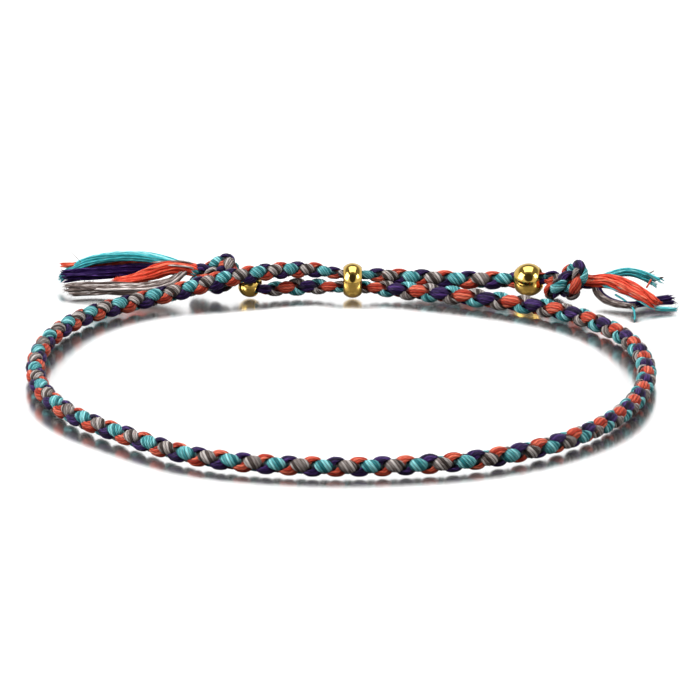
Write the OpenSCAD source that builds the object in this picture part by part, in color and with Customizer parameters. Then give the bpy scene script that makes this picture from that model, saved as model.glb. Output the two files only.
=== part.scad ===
/* [Cord] */
// Thickness of the braided cord round the wrist
cord_d = 2.3; // [2.1:0.1:2.3]
// Number of flats round the cord
cord_sides = 8; // [8:1:10]

/* [Sliding bead] */
// Outer diameter of the bead that both ends of the cord run through
slider_d = 4.25; // [4.2:0.05:4.5]
// Length of the sliding bead along the cord
slider_len = 2.25; // [1.8:0.05:2.3]
// Diameter of its bore
slider_bore_d = 3.1; // [3.1:0.05:3.2]

/* [Stopper beads] */
// Diameter of the round bead on the right end of the cord
right_ball_d = 4; // [3.7:0.1:4]
// Diameter of the bore through it
right_ball_bore_d = 2.3; // [2.2:0.05:2.5]
// Diameter of the smaller round bead on the left end
left_ball_d = 3; // [2.9:0.05:3.1]
// Diameter of the bore through it
left_ball_bore_d = 1.85; // [1.85:0.05:2]

/* [Knots] */
// Thickness of the cord where it is pulled tight in a knot
knot_cord_d = 1.42; // [1.2:0.02:1.42]

/* [Tassels] */
// Thickness of the loose thread bundles, as a share of their own table
lock_fullness = 1; // [0.8:0.05:1.1]

/* [Hidden] */

gold = [0.83, 0.62, 0.2];
turquoise = [0.25, 0.74, 0.76];
orange = [0.9, 0.34, 0.24];
purple = [0.26, 0.15, 0.4];
taupe = [0.56, 0.5, 0.48];

curve_fn = 48;
bore_overrun = 1;
rim_width = 0.05;

// Where each piece sits: X to the right, Y away, Z up from the surface it lies on
slider_at = [-0.5, 32, slider_d / 2];
right_ball_at = [20.8, 32.7, right_ball_d / 2];
left_ball_at = [-12.9, 32.2, left_ball_d / 2];
// Turn of each round bead's bore: pitch, then yaw
right_ball_turn = [8, -11];
left_ball_turn = [17, 160];

// Route of the cord from the right knot, through the sliding bead, round the wrist
// and back through the sliding bead to the left knot.
// Columns: X, Y, Z, share of the full thickness
cord_route = [
    [22.9, 32.2, 2.35, 0.6],
    [20.8, 32.7, 2, 0.8],
    [17.5, 33.3, 1.75, 0.95],
    [10.5, 33.8, 1.7, 1],
    [5.5, 33.6, 2, 0.95],
    [2, 32.7, 2.6, 0.72],
    [-0.5, 32.3, 2.75, 0.54],
    [-2.4, 32.4, 2.9, 0.62],
    [-5.2, 32.5, 3.3, 0.84],
    [-8, 31.9, 3.5, 0.9],
    [-12, 29.9, 3.7, 0.94],
    [-16.3, 29.2, 3.1, 0.98],
    [-20.5, 28.8, 2, 1],
    [-25.5, 26.8, 1.35, 1],
    [-31.8, 21.5, 1.2, 1],
    [-36, 13.3, 1.2, 1],
    [-37.7, 3, 1.2, 1],
    [-36.7, -7, 1.2, 1],
    [-33, -16.2, 1.2, 1],
    [-26.5, -24, 1.2, 1],
    [-18, -31.6, 1.2, 1],
    [-7, -34.8, 1.2, 1],
    [4, -34.8, 1.2, 1],
    [14, -32.5, 1.2, 1],
    [22.5, -27, 1.2, 1],
    [29.4, -18.3, 1.2, 1],
    [33.2, -7.6, 1.2, 1],
    [33.8, 3.5, 1.2, 1],
    [31.1, 14, 1.2, 1],
    [24.8, 22.3, 1.2, 1],
    [16, 27.2, 1.2, 1],
    [8.8, 29.9, 1.2, 1],
    [4.4, 31.3, 1.2, 0.93],
    [1.8, 31.7, 1.3, 0.74],
    [-0.5, 31.7, 1.5, 0.54],
    [-2.4, 31.9, 1.35, 0.66],
    [-5.5, 32.4, 1.25, 0.9],
    [-8.6, 32.1, 1.2, 0.9],
    [-11.4, 31.75, 1.1, 0.65],
    [-12.9, 32.2, 1.5, 0.6],
    [-14.5, 32.95, 2.1, 0.56],
];
rings_per_span = 2;

// Half of an overhand knot, from its middle out to one end, in knot units.
// The other half is the same turned half a turn about Y.
knot_half = [
    [0, 0.85, 0],
    [-0.65, 0.7, 0.75],
    [-1.15, -0.15, 1],
    [-1.05, -0.95, 0.45],
    [-0.45, -1, -0.3],
    [0.25, -0.35, -0.45],
    [1.05, 0, 0],
    [1.45, 0, 0],
];
knot_unit = 1.65;
knot_rings_per_span = 3;
knot_sides = 10;
// Place of each knot, its turn about its own axis, its lift and its heading
right_knot_at = [25.5, 31.4, 2.4];
right_knot_turn = [205, 0, -18];
left_knot_at = [-17.2, 33.3, 2.6];
left_knot_turn = [205, -10, 0];

// Loose thread bundles of each tassel.
// Columns: colour, thickness at root, middle and tip, points from root to tip
right_locks = [
    [orange, [1.2, 2.1, 1.5],
     [[28.5, 30.4, 2.45], [30.2, 30, 2.7], [32.4, 28.6, 2.4], [34.6, 27, 1.75], [36.1, 25.9, 1]]],
    [turquoise, [1, 1.1, 1.4],
     [[28.5, 30.4, 2.45], [30.4, 32.1, 2.6], [33.1, 33.6, 2.7], [35.3, 33.8, 1.9], [37, 33.4, 0.9]]],
    [purple, [1, 0.85, 1.2],
     [[28.5, 30.4, 2.4], [29.6, 29.4, 1.1], [31.6, 27.9, 0.52], [33.4, 27.5, 0.5], [35.4, 28.5, 0.55],
      [38.3, 29.2, 0.65]]],
    [taupe, [1, 1, 0.8],
     [[28.5, 30.4, 2.4], [29, 29.6, 1.3], [30.4, 28.3, 0.6], [32, 27.2, 0.55], [33.6, 26.4, 0.45]]],
    [turquoise, [0.9, 0.9, 0.6],
     [[28.5, 30.4, 2.4], [30.7, 29.4, 2.2], [33.4, 27.5, 1.6], [36, 26.1, 0.55], [38.6, 26, 0.4]]],
];
left_locks = [
    [turquoise, [1.1, 1.5, 1.1],
     [[-20.25, 33.3, 3.2], [-22.6, 34, 3.85], [-26, 34.9, 4.25], [-30, 35.2, 4.1], [-32.9, 35.7, 3.3],
      [-34.8, 36, 2.1], [-36.1, 36, 0.9]]],
    [orange, [1.2, 2, 0.9],
     [[-20.25, 33.3, 3.2], [-21.8, 33.1, 3.5], [-24.5, 33.1, 2.85], [-27.2, 33.2, 1.9], [-29.5, 33.4, 1.6]]],
    [purple, [1.1, 1.7, 1.5],
     [[-20.25, 33.3, 3.2], [-22.2, 34.4, 2.7], [-24.5, 35.2, 2.5], [-28.5, 35.2, 2.3], [-32.5, 35, 2],
      [-35.8, 34.9, 1.75]]],
    [taupe, [1.1, 1.7, 1.3],
     [[-20.25, 33.3, 3.1], [-22.5, 32.3, 1.8], [-25.5, 32.2, 1.1], [-29.5, 32.3, 1], [-33, 32.3, 0.9],
      [-35.4, 32.2, 0.8]]],
    [orange, [0.8, 0.8, 0.9],
     [[-20.25, 33.3, 3.2], [-22.6, 35, 3.2], [-25.5, 36.1, 3.3], [-29, 36.2, 3.05], [-33, 36, 2.85],
      [-36, 35.9, 2.8]]],
];
rings_per_lock_span = 3;
lock_sides = 7;
tip_share = 0.55;
// How far a rounded tip stands out of its tube's flat end, and how deep it is sunk
tip_reach = 0.1;
tip_sunk = 0.45;
head_r = 0.66;

function span_of(p, q) = norm([q.x - p.x, q.y - p.y, q.z - p.z]);

// Slope of a smooth curve at point i of a route, from its two neighbours
function slope(route, i) =
    let (last = len(route) - 1)
    i == 0 ? (route[1] - route[0]) / span_of(route[0], route[1]) :
    i == last ? (route[last] - route[last - 1]) / span_of(route[last - 1], route[last]) :
    let (before = span_of(route[i - 1], route[i]), after = span_of(route[i], route[i + 1]))
    ((route[i] - route[i - 1]) / before * after + (route[i + 1] - route[i]) / after * before)
        / (before + after);

function on_span(route, i, t) =
    let (h = span_of(route[i], route[i + 1]))
    (2 * t * t * t - 3 * t * t + 1) * route[i]
    + (t * t * t - 2 * t * t + t) * h * slope(route, i)
    + (3 * t * t - 2 * t * t * t) * route[i + 1]
    + (t * t * t - t * t) * h * slope(route, i + 1);

// A smooth curve through every point of a route
function smooth(route, steps) = concat(
    [for (i = [0:len(route) - 2]) for (k = [0:steps - 1]) on_span(route, i, k / steps)],
    [route[len(route) - 1]]);

function xyz(p) = [p.x, p.y, p.z];
function unit(v) = v / norm(v);

function direction(path, i) =
    unit(xyz(path[min(i + 1, len(path) - 1)]) - xyz(path[max(i - 1, 0)]));

// Carries a side vector along the path, always square to it, without twist
function carried(path, side, i = 0, done = []) =
    i == len(path) ? done :
    let (d = direction(path, i), s = unit(side - (side * d) * d))
    carried(path, s, i + 1, concat(done, [s]));

// A closed tube along a path of [x, y, z, radius]
module tube(path, sides) {
    start = direction(path, 0);
    first_side = abs(start.z) < 0.9 ? [0, 0, 1] : [1, 0, 0];
    side = carried(path, first_side);
    points = [for (i = [0:len(path) - 1])
        let (across = cross(direction(path, i), side[i]))
        for (k = [0:sides - 1])
            xyz(path[i]) + path[i][3] * (cos(360 * k / sides) * side[i] + sin(360 * k / sides) * across)];
    last = (len(path) - 1) * sides;
    walls = [for (i = [0:len(path) - 2]) for (k = [0:sides - 1])
        let (a = i * sides + k, b = i * sides + (k + 1) % sides)
        for (face = [[a, a + sides, b], [b, a + sides, b + sides]]) face];
    start_cap = [for (k = [0:sides - 1]) k];
    end_cap = [for (k = [0:sides - 1]) last + sides - 1 - k];
    polyhedron(points = points, faces = concat(walls, [start_cap, end_cap]), convexity = 10);
}

module braided_cord() {
    path = [for (p = smooth(cord_route, rings_per_span)) [p.x, p.y, p.z, p[3] * cord_d / 2]];
    color(turquoise) tube(path, cord_sides);
}

// A ring bead turned about Z: rounded outside, straight bore, a narrow flat rim at each end
module ring_bead(outer_d, length, bore_d, side_r) {
    bore_r = bore_d / 2;
    rotate_extrude($fn = curve_fn) intersection() {
        translate([bore_r, -length / 2]) square([outer_d, length]);
        translate([outer_d / 2 - side_r, 0]) circle(r = side_r, $fn = curve_fn);
    }
}

module slider_bead() {
    half_len = slider_len / 2;
    rim_r = slider_bore_d / 2 + rim_width;
    rise = slider_d / 2 - rim_r;
    side_r = (half_len * half_len + rise * rise) / (2 * rise);
    color(gold) translate(slider_at) rotate([0, 90, 0])
        ring_bead(slider_d, slider_len, slider_bore_d, side_r);
}

// A round bead with a straight bore along X
module ball_bead(outer_d, bore_d, turn) {
    color(gold) rotate([0, -turn[0], turn[1]]) rotate([0, 90, 0])
        difference() {
            sphere(d = outer_d, $fn = curve_fn);
            cylinder(d = bore_d, h = outer_d + 2 * bore_overrun, center = true, $fn = curve_fn);
        }
}

module right_ball_bead()
    translate(right_ball_at) ball_bead(right_ball_d, right_ball_bore_d, right_ball_turn);
module left_ball_bead()
    translate(left_ball_at) ball_bead(left_ball_d, left_ball_bore_d, left_ball_turn);

module overhand_knot(turn) {
    inner = [for (i = [len(knot_half) - 1:-1:1]) [-knot_half[i].x, knot_half[i].y, -knot_half[i].z]];
    route = [for (p = concat(inner, knot_half)) knot_unit * [p.x, -p.y, p.z]];
    path = [for (p = smooth(route, knot_rings_per_span)) [p.x, p.y, p.z, knot_cord_d / 2]];
    rotate([0, 0, turn.z]) rotate([0, -turn.y, 0]) rotate([turn.x, 0, 0]) tube(path, knot_sides);
}

module right_knot() color(orange) translate(right_knot_at) overhand_knot(right_knot_turn);
module left_knot() color(purple) translate(left_knot_at) overhand_knot(left_knot_turn);

// One loose bundle: thickness [root, middle, tip] along its points, with a rounded root and tip
module lock(row) {
    thick = row[1] * lock_fullness;
    points = row[2];
    last = len(points) - 1;
    route = [for (i = [0:last]) let (t = i / last)
        [points[i].x, points[i].y, points[i].z,
         (t < 0.5 ? thick[0] + (thick[1] - thick[0]) * 2 * t
                  : thick[1] + (thick[2] - thick[1]) * (2 * t - 1)) / 2]];
    path = smooth(route, rings_per_lock_span);
    tube(path, lock_sides);
    rounded_end(path[0], path[1]);
    rounded_end(path[len(path) - 1], path[len(path) - 2]);
}

module rounded_end(outer, inner) {
    along = xyz(outer) - xyz(inner);
    hull() for (share = [tip_reach, -tip_sunk])
        translate(xyz(outer) + share * along) sphere(r = outer[3] * tip_share, $fn = lock_sides);
}

module tassel(locks) {
    for (row = locks) color(row[0]) lock(row);
    color(taupe) translate(locks[0][2][0]) sphere(r = head_r, $fn = lock_sides);
}

module right_tassel() tassel(right_locks);
module left_tassel() tassel(left_locks);

braided_cord();
slider_bead();
right_ball_bead();
left_ball_bead();
right_knot();
left_knot();
right_tassel();
left_tassel();
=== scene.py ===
"""Dresses the braided bracelet: strands, knots, tassels, gold beads, and a pale studio.

Tables are in millimetres, in the part's own frame; meshes are in metres.
"""

import logging
import math
from collections.abc import Iterable, Sequence
from dataclasses import dataclass, field
from enum import Enum
from functools import partialmethod

import bpy
import numpy as np
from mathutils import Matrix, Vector


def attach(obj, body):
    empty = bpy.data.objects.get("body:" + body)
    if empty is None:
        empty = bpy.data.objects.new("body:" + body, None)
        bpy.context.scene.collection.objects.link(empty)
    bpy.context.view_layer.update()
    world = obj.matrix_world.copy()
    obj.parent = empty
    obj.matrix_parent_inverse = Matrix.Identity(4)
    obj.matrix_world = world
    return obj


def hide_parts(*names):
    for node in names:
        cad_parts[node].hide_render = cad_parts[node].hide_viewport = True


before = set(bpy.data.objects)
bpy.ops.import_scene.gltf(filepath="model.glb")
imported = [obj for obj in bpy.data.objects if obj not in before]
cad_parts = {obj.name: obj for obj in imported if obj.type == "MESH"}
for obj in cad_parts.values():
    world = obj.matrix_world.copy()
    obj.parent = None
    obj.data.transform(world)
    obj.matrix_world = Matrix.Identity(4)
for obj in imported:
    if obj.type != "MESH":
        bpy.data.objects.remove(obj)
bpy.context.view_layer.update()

Array = np.ndarray
Point = tuple[float, float, float]
Colour = tuple[float, float, float]
Span = tuple[float, float]
Socket = bpy.types.NodeSocket
Material = bpy.types.Material

MM = 0.001
FULL_TURN = 2 * math.pi
GOLDEN_ANGLE = math.radians(137.508)
# Frequency and weight of each wave in the seeded unevenness
WAVES = ((1.0, 0.5), (1.9, 0.32), (3.7, 0.18))
# Distance from the middle of the braid at which a thread lies quite free, clear of the painted shade that
# darkens the braid's crevices
OUTSIDE = 2.0
# What floor and room send back onto the part, kept low so that the thread's shades stay dark
BOUNCE: Colour = (0.1, 0.1, 0.1)

log = logging.getLogger("bracelet")


class Hue(Enum):
    """The four colours of thread, each with a material slot's name as its value."""

    TURQUOISE = "turquoise_thread"
    ORANGE = "orange_thread"
    PURPLE = "purple_thread"
    TAUPE = "taupe_thread"

    @property
    def word(self) -> str:
        """The colour's plain name."""
        return self.name.lower()


class Way(Enum):
    """Which way a strand turns round the cord, seen along it."""

    FORWARD = 1
    BACKWARD = -1


# Curves


def smooth_curve(rows: Sequence[Sequence[float]], steps: int) -> Array:
    """A smooth curve through every row, the same one that the solids follow.

    Args:
        rows: points whose first three columns are X, Y and Z.
        steps: points made on each span.

    Returns:
        The curve's rows, with as many columns as the input.
    """
    p = np.asarray(rows, float)
    span = np.linalg.norm(np.diff(p[:, :3], axis=0), axis=1)[:, None]
    chord = np.diff(p, axis=0) / span
    slope = np.empty_like(p)
    slope[0], slope[-1] = chord[0], chord[-1]
    slope[1:-1] = (chord[:-1] * span[1:] + chord[1:] * span[:-1]) / (span[:-1] + span[1:])
    t = np.linspace(0, 1, steps, endpoint=False)[None, :, None]
    reach = span[:, None]
    made = (
        (2 * t**3 - 3 * t**2 + 1) * p[:-1, None]
        + (t**3 - 2 * t**2 + t) * reach * slope[:-1, None]
        + (3 * t**2 - 2 * t**3) * p[1:, None]
        + (t**3 - t**2) * reach * slope[1:, None]
    )
    return np.vstack([made.reshape(-1, p.shape[1]), p[-1:]])


def unit(vectors: Array) -> Array:
    """Vectors of length one, along the last axis."""
    return vectors / np.maximum(np.linalg.norm(vectors, axis=-1, keepdims=True), 1e-12)


def distances(points: Array) -> Array:
    """How far each point lies along the line through the points."""
    return np.concatenate([[0.0], np.cumsum(np.linalg.norm(np.diff(points, axis=0), axis=1))])


def wander(x: Array, seed: int, wavelength: float) -> Array:
    """Smooth seeded unevenness from about -1 to 1.

    Args:
        x: where it is read.
        seed: picks the pattern.
        wavelength: length of its longest wave, in x's units.

    Returns:
        One value for each x.
    """
    rng = np.random.default_rng(seed)
    value = np.zeros_like(np.asarray(x, float))
    for frequency, weight in WAVES:
        value = value + weight * np.sin(FULL_TURN * (x / wavelength * frequency + rng.random()))
    return value


def soft_table(x: Array, at: Array, values: Array, window: float, samples: int = 13) -> Array:
    """Reads a table along x with its corners rounded over a window.

    Args:
        x: where it is read.
        at: the table's own places.
        values: its values there.
        window: how much of x is averaged.
        samples: readings in the window.

    Returns:
        One value for each x.
    """
    offsets = np.linspace(-0.5, 0.5, samples)
    weights = np.cos(np.pi * offsets) ** 2 + 1e-6
    first = (values[1] - values[0]) / (at[1] - at[0])
    last = (values[-1] - values[-2]) / (at[-1] - at[-2])
    total = np.zeros_like(x)
    for offset, weight in zip(offsets, weights, strict=True):
        place = x + offset * window
        read = np.interp(place, at, values)
        read = read + np.minimum(place - at[0], 0) * first + np.maximum(place - at[-1], 0) * last
        total += weight * read
    return total / weights.sum()


def carried_up(tangent: Array) -> Array:
    """Directions carried along a line without twist.

    Args:
        tangent: the line's direction at each point.

    Returns:
        A direction square to each of them.
    """
    steep = abs(tangent[0][2]) >= 0.9
    carried = np.array([1.0, 0.0, 0.0]) if steep else np.array([0.0, 0.0, 1.0])
    up = np.empty_like(tangent)
    for i, along in enumerate(tangent):
        carried = unit(carried - (carried @ along) * along)
        up[i] = carried
    return up


def rotation(roll: float, pitch: float, yaw: float) -> Array:
    """A turn in three steps, in degrees.

    Args:
        roll: the first step, about X.
        pitch: the second, which lifts +X.
        yaw: the third, about Z.

    Returns:
        The matrix of the whole turn.
    """
    ax, ay, az = (math.radians(angle) for angle in (roll, -pitch, yaw))
    about_x = [[1, 0, 0], [0, math.cos(ax), -math.sin(ax)], [0, math.sin(ax), math.cos(ax)]]
    about_y = [[math.cos(ay), 0, math.sin(ay)], [0, 1, 0], [-math.sin(ay), 0, math.cos(ay)]]
    about_z = [[math.cos(az), -math.sin(az), 0], [math.sin(az), math.cos(az), 0], [0, 0, 1]]
    return np.array(about_z) @ np.array(about_y) @ np.array(about_x)


@dataclass(frozen=True)
class Path:
    """A centreline with a frame that travels along it, in millimetres."""

    distance: Array
    centre: Array
    tangent: Array
    up: Array
    side: Array
    share: Array

    @classmethod
    def through(cls, rows: Sequence[Sequence[float]], steps: int, level: bool) -> "Path":
        """A smooth path through rows of X, Y, Z and share of thickness.

        Args:
            rows: the points to pass through.
            steps: points made on each span.
            level: keep the frame's up side upright; otherwise carry it along without twist.

        Returns:
            The path.
        """
        curve = smooth_curve(rows, steps)
        centre = curve[:, :3]
        tangent = unit(np.gradient(centre, axis=0))
        if level:
            up = np.tile([0.0, 0.0, 1.0], (len(centre), 1))
            up = unit(up - (up * tangent).sum(1, keepdims=True) * tangent)
        else:
            up = carried_up(tangent)
        return cls(distances(centre), centre, tangent, up, np.cross(tangent, up), curve[:, 3])

    @property
    def length(self) -> float:
        """The path's whole length."""
        return float(self.distance[-1])

    def at(self, where: Array) -> "Path":
        """The path read at other distances.

        Args:
            where: the distances.

        Returns:
            The path, with one point for each.
        """
        tables = (self.centre, self.tangent, self.up, self.side, self.share[:, None])
        centre, tangent, up, side, share = (
            np.stack([np.interp(where, self.distance, column) for column in rows.T], 1)
            for rows in tables
        )
        return Path(where, centre, unit(tangent), unit(up), unit(side), share[:, 0])


# Meshes


def ring_quads(rings: int, sides: int, closed: bool) -> Array:
    """Faces between rings of points, as four point numbers each.

    Args:
        rings: how many rings there are.
        sides: points of a ring.
        closed: join the last ring to the first.

    Returns:
        One row for each face.
    """
    i, j = np.meshgrid(np.arange(rings if closed else rings - 1), np.arange(sides), indexing="ij")
    ahead, after = (i + 1) % rings, (j + 1) % sides
    corners = (i * sides + j, i * sides + after, ahead * sides + after, ahead * sides + j)
    return np.stack(corners, -1).reshape(-1, 4)


@dataclass(frozen=True)
class Tube:
    """A closed tube: rings of points in millimetres, and its thread coordinates.

    along is the distance along the threads, around counts threads across, one more than the
    points of a ring, and rise is each point's distance from the middle of the braid.
    """

    rings: Array
    along: Array
    around: Array
    rise: Array | None = None

    def rises(self) -> Array:
        """The rise of each point, which is quite free where none is given."""
        rings, sides = self.rings.shape[:2]
        return np.full(rings * sides, OUTSIDE) if self.rise is None else self.rise.ravel()

    def faces(self, base: int) -> list[list[int]]:
        """The faces between the rings, then both ends.

        Args:
            base: number of the tube's first point.

        Returns:
            The point numbers of each face.
        """
        rings, sides = self.rings.shape[:2]
        last = base + (rings - 1) * sides
        return [
            *(ring_quads(rings, sides, closed=False) + base).tolist(),
            list(range(base + sides - 1, base - 1, -1)),
            list(range(last, last + sides)),
        ]

    def places(self) -> Array:
        """The thread coordinates.

        Returns:
            One row for each corner of each face, in their order.
        """
        rings, sides = self.rings.shape[:2]
        i, j = np.meshgrid(np.arange(rings - 1), np.arange(sides), indexing="ij")
        u = self.along[np.stack([i, i, i + 1, i + 1], -1)]
        v = self.around[np.stack([j, j + 1, j + 1, j], -1)]
        start = np.stack([np.full(sides, self.along[0]), self.around[:-1][::-1]], -1)
        end = np.stack([np.full(sides, self.along[-1]), self.around[:-1]], -1)
        return np.vstack([np.stack([u, v], -1).reshape(-1, 2), start, end])


def ring_frame(centre: Array, hint: Array) -> tuple[Array, Array]:
    """Two directions square to a line and to each other.

    Args:
        centre: points of the line.
        hint: for each point, roughly where the second direction goes.

    Returns:
        The side and outward directions, right-handed about the line.
    """
    tangent = unit(np.gradient(centre, axis=0))
    outward = unit(hint - (hint * tangent).sum(1, keepdims=True) * tangent)
    return np.cross(outward, tangent), outward


def round_tube(centre: Array, radius: Array, sides: int, number: int) -> Tube:
    """A round thread or fibre along a line.

    Args:
        centre: points of the line.
        radius: its radius at each point.
        sides: points round it.
        number: the thread's own number, which picks its tone.

    Returns:
        The tube.
    """
    tangent = unit(np.gradient(centre, axis=0))
    up = carried_up(tangent)
    across = np.cross(up, tangent)
    angle = np.linspace(0, FULL_TURN, sides, endpoint=False)
    rings = centre[:, None] + radius[:, None, None] * (
        np.cos(angle)[None, :, None] * across[:, None] + np.sin(angle)[None, :, None] * up[:, None]
    )
    # Just short of a whole thread, so that the seam keeps the thread's own number
    around = number + np.linspace(0, 1, sides + 1) * 0.999
    return Tube(rings, distances(centre), around)


def mesh_from(name: str, tubes: Iterable[Tube]) -> bpy.types.Mesh:
    """One smooth mesh of many tubes, with the thread coordinates as its UV map.

    Args:
        name: the mesh's name.
        tubes: what it is made of.

    Returns:
        The mesh, in metres.
    """
    points, rises, faces, places, base = [], [], [], [], 0
    for tube in tubes:
        points.append(tube.rings.reshape(-1, 3))
        rises.append(tube.rises())
        faces += tube.faces(base)
        places.append(tube.places())
        base += len(points[-1])
    mesh = bpy.data.meshes.new(name)
    mesh.from_pydata(np.vstack(points) * MM, [], faces)
    mesh.shade_smooth()
    layer = mesh.uv_layers.new(name="threads")
    layer.uv.foreach_set("vector", np.vstack(places).astype(np.float32).ravel())
    rise = mesh.attributes.new("rise", "FLOAT", "POINT")
    rise.data.foreach_set("value", np.concatenate(rises).astype(np.float32))
    return mesh


def show(thing: bpy.types.Object) -> bpy.types.Object:
    """Puts an object into the scene."""
    bpy.context.scene.collection.objects.link(thing)
    return thing


def place_piece(mesh: bpy.types.Mesh, material: Material, slot: str, *nodes: str) -> None:
    """Adds a piece that rides on the part and stands for some of its solids.

    Args:
        mesh: the piece's mesh, which gives it its name.
        material: its finish.
        slot: not used.
        nodes: the solids that it stands for.
    """
    piece = show(bpy.data.objects.new(mesh.name, mesh))
    mesh.materials.append(material)
    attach(piece, "root")
    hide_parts(*nodes)
    log.info("%s: %d faces", piece.name, len(mesh.polygons))


# Finishes


class Sketch:
    """A node tree being drawn."""

    def __init__(self, tree: bpy.types.NodeTree) -> None:
        """Starts from an empty tree."""
        self.tree = tree
        tree.nodes.clear()

    def add(self, kind: str, values: dict | None = None, **settings: object) -> bpy.types.Node:
        """Adds a node.

        Args:
            kind: the node's type name.
            values: by input name or number, a constant or the socket that feeds it.
            settings: the node's own properties.

        Returns:
            The node.
        """
        node = self.tree.nodes.new(kind)
        for key, value in settings.items():
            setattr(node, key, value)
        for key, value in (values or {}).items():
            if isinstance(value, Socket):
                self.tree.links.new(value, node.inputs[key])
            else:
                node.inputs[key].default_value = value
        return node

    def maths(self, operation: str, *values: object, clamp: bool = False) -> Socket:
        """The result of a Math node on constants or sockets."""
        inputs = dict(enumerate(values))
        return self.add("ShaderNodeMath", inputs, operation=operation, use_clamp=clamp).outputs[0]

    # The product and the sum of two constants or sockets
    times = partialmethod(maths, "MULTIPLY")
    plus = partialmethod(maths, "ADD")

    def ranged(
        self, value: object, start: Span, end: Span = (0.0, 1.0), ease: bool = True
    ) -> Socket:
        """A value carried from one range to another.

        Args:
            value: the constant or socket.
            start: where it counts as the beginning and as the end.
            end: what comes out there.
            ease: whether it leaves and arrives softly.

        Returns:
            The result, held between the two ends.
        """
        ends = zip(("From Min", "From Max", "To Min", "To Max"), (*start, *end), strict=True)
        inputs = {"Value": value, **dict(ends)}
        kind = "SMOOTHSTEP" if ease else "LINEAR"
        return self.add("ShaderNodeMapRange", inputs, interpolation_type=kind).outputs[0]

    def blend(self, factor: object, low: object, high: object) -> Socket:
        """A colour between two.

        Args:
            factor: from 0 to 1.
            low: the colour at 0.
            high: the colour at 1.

        Returns:
            The colour.
        """
        inputs = {0: factor}
        for key, colour in ((6, low), (7, high)):
            inputs[key] = colour if isinstance(colour, Socket) else (*colour, 1)
        return self.add("ShaderNodeMix", inputs, data_type="RGBA").outputs[2]

    def bump(self, height: object, strength: float, depth: float) -> Socket:
        """A normal roughened by a height, with its depth in millimetres."""
        inputs = {"Height": height, "Strength": strength, "Distance": depth * MM}
        return self.add("ShaderNodeBump", inputs).outputs[0]

    @classmethod
    def material(cls, name: str) -> tuple[Material, "Sketch"]:
        """A new material, and the sketch of its nodes."""
        made = bpy.data.materials.new(name)
        made.use_nodes = True
        return made, cls(made.node_tree)

    def surface(self, shader: bpy.types.Node) -> None:
        """Puts the material's surface out."""
        self.add("ShaderNodeOutputMaterial", {"Surface": shader.outputs[0]})


def new_group(name: str, place: str, amounts: dict[str, float], outputs: Sequence[str]) -> Sketch:
    """Starts a shader node group with named sockets.

    Args:
        name: the group's name.
        place: name of the vector input that it reads its pattern at.
        amounts: name and usual value of each number that it takes.
        outputs: names of the value outputs.

    Returns:
        The sketch of the group.
    """
    group = bpy.data.node_groups.new(name, "ShaderNodeTree")
    group.interface.new_socket(place, in_out="INPUT", socket_type="NodeSocketVector")
    for label, usual in amounts.items():
        socket = group.interface.new_socket(label, in_out="INPUT", socket_type="NodeSocketFloat")
        socket.default_value = usual
    for label in outputs:
        group.interface.new_socket(label, in_out="OUTPUT", socket_type="NodeSocketFloat")
    return Sketch(group)


def thread_grain_group() -> bpy.types.NodeTree:
    """The group that draws spun threads lying side by side.

    Returns:
        A group that reads thread coordinates and puts out Tone, from dark to light with painted light
        and shade along the plies, Gap Shade, which is 1 down between two threads where shade is
        painted, and Height for a bump.
    """
    amounts = {"Ply Length": 0.5, "Plies": 2.0, "Ply Strength": 0.15, "Unevenness": 0.5, "Bundle": 9.0}
    s = new_group("Thread Grain", "Threads", amounts, ["Tone", "Gap Shade", "Height"])
    given = s.add("NodeGroupInput").outputs
    parts = s.add("ShaderNodeSeparateXYZ", {0: given["Threads"]}).outputs
    along, across = parts["X"], parts["Y"]
    number = s.maths("FLOORED_MODULO", s.maths("FLOOR", across), given["Bundle"])
    within = s.maths("FRACT", across)
    crown = s.maths("SINE", s.times(within, math.pi))
    lay = s.plus(s.maths("DIVIDE", along, given["Ply Length"]), s.times(within, given["Plies"]))
    ply = s.maths("SINE", s.times(lay, FULL_TURN))
    own = s.add("ShaderNodeTexWhiteNoise", {"W": number}, noise_dimensions="1D").outputs["Value"]
    # Streaks: slow along the thread, fine across it
    streaks = s.add("ShaderNodeCombineXYZ", {0: s.times(along, 0.9), 1: s.times(across, 7.0)})
    fibres = s.add(
        "ShaderNodeTexNoise",
        {"Vector": streaks.outputs[0], "Scale": 1.0, "Detail": 3.0, "Roughness": 0.6},
        noise_dimensions="3D",
    ).outputs[0]
    uneven = s.times(s.maths("SUBTRACT", own, 0.5), given["Unevenness"])
    mottled = s.times(s.maths("SUBTRACT", fibres, 0.5), 1.1)
    # Painted light and shade: the tone rises and falls with the ply's ridges
    lit = s.times(ply, given["Ply Strength"])
    tone = s.plus(s.plus(s.plus(0.5, uneven), mottled), lit, clamp=True)
    # Painted shade down between two threads, where each thread's round side falls away
    gap_shade = s.maths("SUBTRACT", 1.0, crown, clamp=True)
    relief = s.times(ply, s.times(given["Ply Strength"], 2.0))
    height = s.plus(relief, s.times(fibres, 0.5))
    s.add("NodeGroupOutput", {"Tone": tone, "Gap Shade": gap_shade, "Height": height})
    return s.tree


def fine_wear_group() -> bpy.types.NodeTree:
    """The group that marks handled metal.

    Returns:
        A group that puts out Marks, fine hairlines and smudges from 0 to 1, and Height.
    """
    s = new_group("Fine Wear", "Place", {"Scale": 1.0}, ["Marks", "Height"])
    given = s.add("NodeGroupInput").outputs

    def noise(scale: float, **values: float) -> Socket:
        """A noise texture read at the group's place."""
        wanted = {"Vector": given["Place"], "Scale": s.times(given["Scale"], scale), **values}
        return s.add("ShaderNodeTexNoise", wanted).outputs[0]

    hairs = noise(2600.0, Detail=4.0, Distortion=1.2)
    smudges = noise(700.0, Detail=2.0)
    marks = s.times(s.plus(hairs, smudges), 0.5, clamp=True)
    s.add("NodeGroupOutput", {"Marks": marks, "Height": hairs})
    return s.tree


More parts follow.
